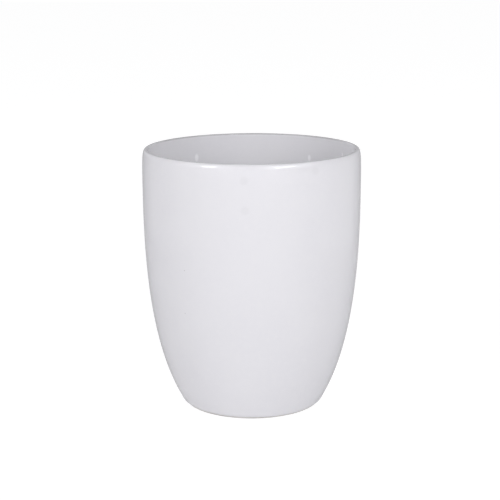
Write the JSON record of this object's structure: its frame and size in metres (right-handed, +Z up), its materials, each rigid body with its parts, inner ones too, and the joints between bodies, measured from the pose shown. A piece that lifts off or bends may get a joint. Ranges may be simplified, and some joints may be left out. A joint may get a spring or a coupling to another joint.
{
  "type": "porcelain crucible",
  "caption": "Tall-form porcelain crucible with bowed sides, a wide rounded lip and a small bare foot ring, glazed inside and out, open and without its lid.",
  "frame": {"origin": "centre of the plane that the foot ring stands on", "axes": "+Z up along the axis of revolution; +X and +Y are arbitrary, because the vessel is round"},
  "size_m": [0.05, 0.05, 0.0595],
  "materials": {
    "biscuit_porcelain": "matt, unglazed fired porcelain with fine turning rings",
    "outer_glaze": "glossy, slightly uneven clear glaze over white porcelain",
    "inner_glaze": "glossy, slightly uneven clear glaze over white porcelain"
  },
  "bodies": {
    "root": {"porcelain_body": "biscuit_porcelain", "outer_glaze": "outer_glaze", "inner_glaze": "inner_glaze"}
  },
  "joints": []
}
